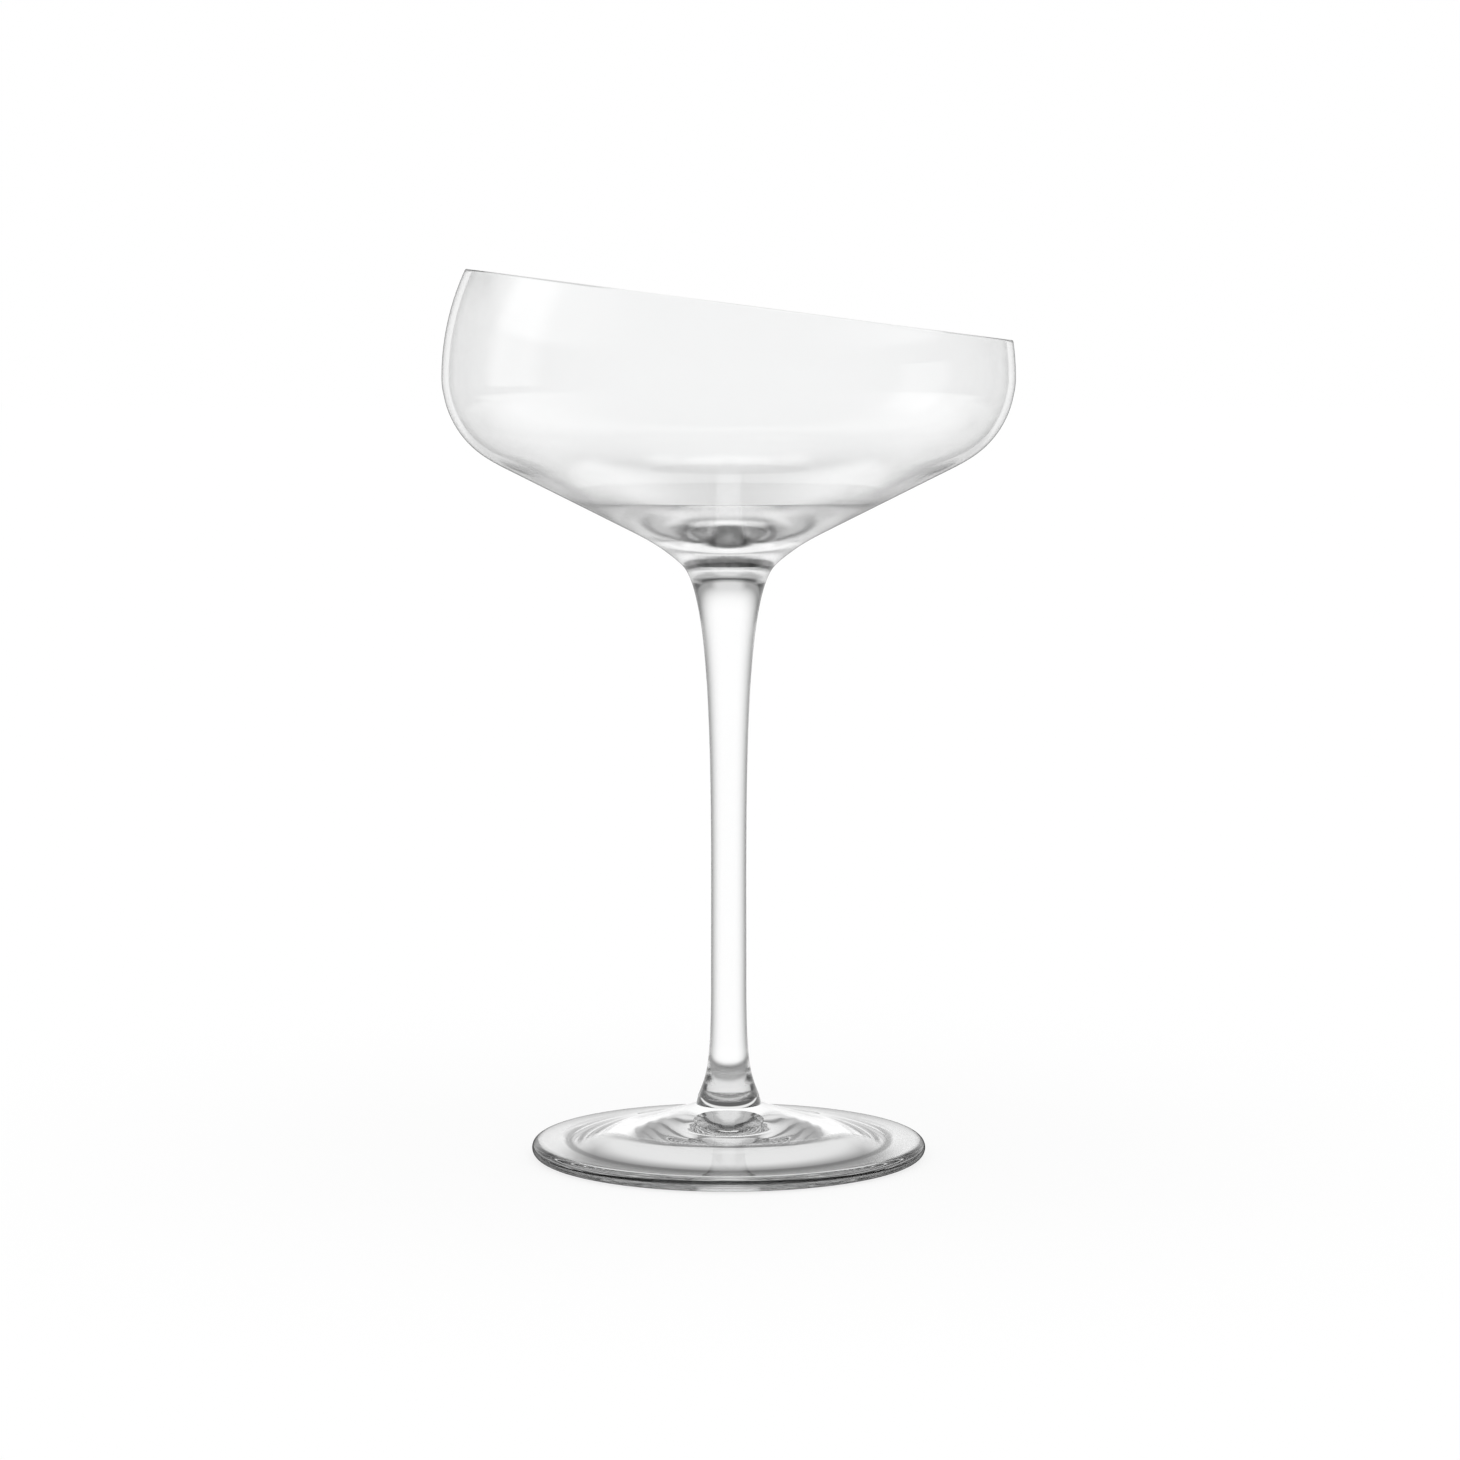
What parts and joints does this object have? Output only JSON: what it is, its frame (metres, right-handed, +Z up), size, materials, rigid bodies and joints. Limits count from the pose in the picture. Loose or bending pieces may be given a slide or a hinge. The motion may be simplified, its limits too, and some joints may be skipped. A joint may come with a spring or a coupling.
{
  "type": "champagne coupe",
  "caption": "Stemmed glass with a broad shallow bowl whose lip is cut on a slant, a slim flared stem and a disc foot, for serving sparkling wine.",
  "frame": {"origin": "centre of the foot's resting ring, on the surface that the glass stands on", "axes": "+Z up along the stem, -X towards the high side of the slanted lip, the plane Y = 0 cuts the glass into mirrored halves"},
  "size_m": [0.1086, 0.1086, 0.1697],
  "materials": {
    "bowl": "clear blown glass, fire-polished lip",
    "stem": "clear drawn glass, polished",
    "foot": "clear worked glass, polished"
  },
  "bodies": {
    "root": {"bowl": "bowl", "stem": "stem", "foot": "foot"}
  },
  "joints": []
}
